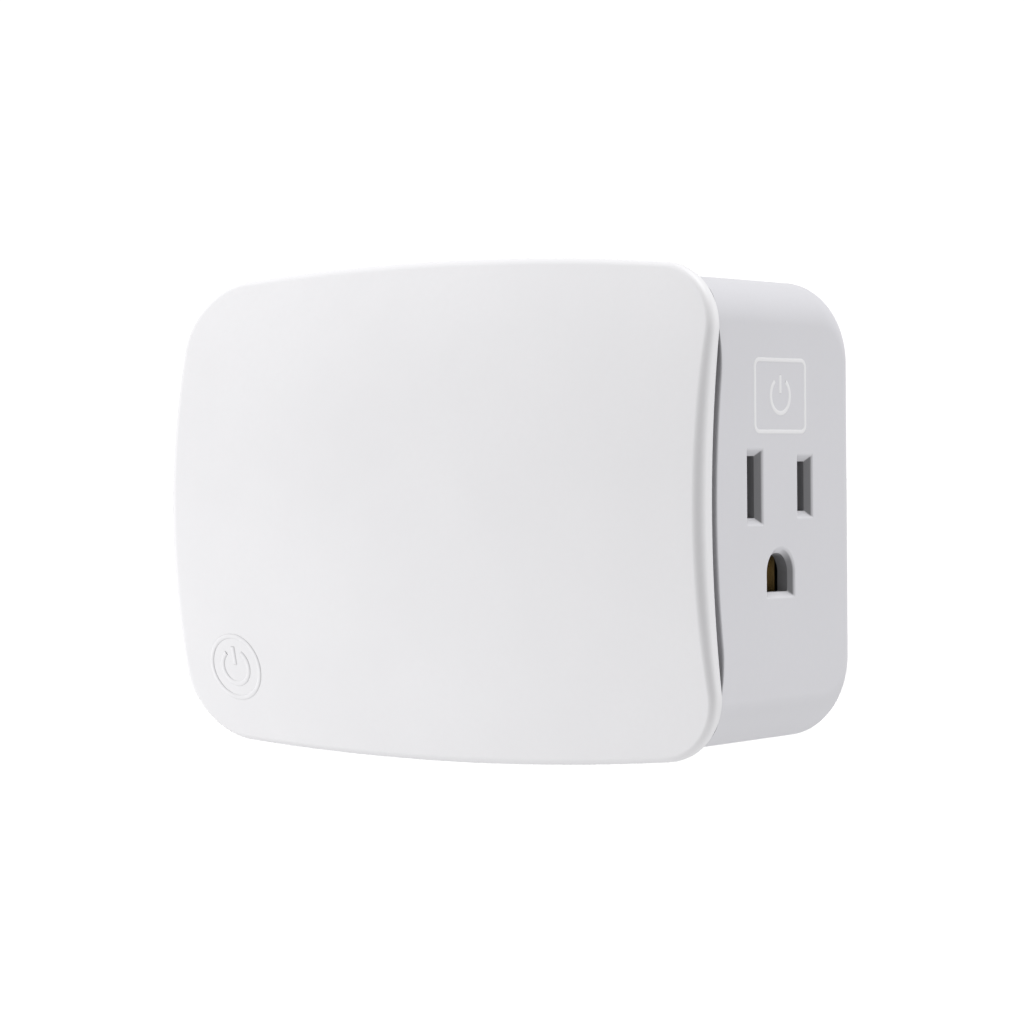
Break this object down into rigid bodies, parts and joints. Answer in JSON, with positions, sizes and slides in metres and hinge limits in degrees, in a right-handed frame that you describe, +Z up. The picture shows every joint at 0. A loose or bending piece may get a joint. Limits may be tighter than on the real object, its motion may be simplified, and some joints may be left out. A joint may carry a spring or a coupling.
{
  "type": "smart plug",
  "caption": "Plug-in smart switch with a curved white front cover over a grey housing, a grounded outlet in each side face and a grounded plug on the back.",
  "frame": {"origin": "centre of the flat back of the housing, where it meets the wall plate", "axes": "+X to the right side seen from the front, +Y into the wall along the plug's blades, +Z up"},
  "size_m": [0.0952, 0.0615, 0.0712],
  "materials": {
    "cover_white": "fine moulded satin",
    "housing_grey": "fine moulded satin",
    "button_white": "fine moulded satin",
    "light_pipe_clear": "clear polished",
    "plated_steel": "zinc plated",
    "label_stock": "blank printed film",
    "nickel_plate": "nickel plated",
    "contact_brass": "stamped",
    "black_moulding": "moulded",
    "cream_moulding": "moulded",
    "black_insulation": "extruded PVC",
    "white_insulation": "extruded PVC",
    "circuit_board": "solder mask",
    "copper_wire": "enamelled and bare copper",
    "ferrite": "pressed and sintered",
    "winding_tape": "polyester tape",
    "capacitor_sleeve": "heat-shrink sleeve",
    "film_case": "potted box",
    "varistor_coat": "dipped epoxy",
    "led_lens": "clear epoxy"
  },
  "bodies": {
    "casing": {"front_cover": "cover_white", "housing": "housing_grey", "light_pipe": "light_pipe_clear", "housing_screws": "plated_steel", "relay_yoke": "plated_steel", "relay_core": "plated_steel", "radio_shield": "plated_steel", "rating_label": "label_stock", "line_blade": "nickel_plate", "neutral_blade": "nickel_plate", "ground_pin": "nickel_plate", "ground_strap": "contact_brass", "right_line_contact": "contact_brass", "right_neutral_contact": "contact_brass", "right_ground_contact": "contact_brass", "left_line_contact": "contact_brass", "left_neutral_contact": "contact_brass", "left_ground_contact": "contact_brass", "right_outlet_block": "black_moulding", "left_outlet_block": "black_moulding", "blade_carrier": "black_moulding", "relay_base": "black_moulding", "relay_cover": "black_moulding", "bridge_rectifier": "black_moulding", "control_chips": "black_moulding", "tact_switch": "black_moulding", "relay_bobbin": "cream_moulding", "fuse": "cream_moulding", "line_lead": "black_insulation", "load_left_lead": "black_insulation", "load_right_lead": "black_insulation", "neutral_board_lead": "white_insulation", "neutral_left_lead": "white_insulation", "neutral_right_lead": "white_insulation", "main_board": "circuit_board", "radio_board": "circuit_board", "button_board": "circuit_board", "relay_winding": "copper_wire", "relay_fixed_contact": "copper_wire", "transformer_core": "ferrite", "filter_inductor": "ferrite", "transformer_winding": "winding_tape", "bulk_capacitor": "capacitor_sleeve", "output_capacitor": "capacitor_sleeve", "film_capacitor": "film_case", "varistor": "varistor_coat", "status_led": "led_lens"},
    "button": {"button_cap": "button_white"},
    "plunger": {"switch_plunger": "cream_moulding"},
    "armature": {"relay_armature": "plated_steel"},
    "card": {"relay_card": "cream_moulding"},
    "moving_contact": {"relay_moving_contact": "copper_wire"}
  },
  "joints": [
    {"name": "button_press", "type": "slide", "parent": "casing", "child": "button", "axis": [1, 0, 0], "range_m": [0, 0.0005], "stiffness_N_per_m": 400, "springref_m": -0.002},
    {"name": "plunger_press", "type": "slide", "parent": "casing", "child": "plunger", "axis": [1, 0, 0], "range_m": [0, 0.0005], "stiffness_N_per_m": 100, "springref_m": -0.002},
    {"name": "armature_swing", "type": "hinge", "parent": "casing", "child": "armature", "pos_m": [0.0039, -0.0275, -0.0208], "axis": [0, 0, 1], "range_deg": [0, 4.4], "stiffness_Nm_per_rad": 0.02, "springref_deg": -8.59},
    {"name": "card_slide", "type": "slide", "parent": "casing", "child": "card", "axis": [-1, 0, 0], "range_m": [0, 0.000825]},
    {"name": "contact_flex", "type": "hinge", "parent": "casing", "child": "moving_contact", "pos_m": [0.0096, -0.0281, -0.0208], "axis": [0, 0, 1], "range_deg": [0, 4.4], "stiffness_Nm_per_rad": 0.01, "springref_deg": -2.86}
  ],
  "couplings": [
    {"joint": "plunger_press", "follows": "button_press", "ratio": 1},
    {"joint": "armature_swing", "follows": "card_slide", "rad_per_m": 93},
    {"joint": "contact_flex", "follows": "card_slide", "rad_per_m": 93}
  ]
}
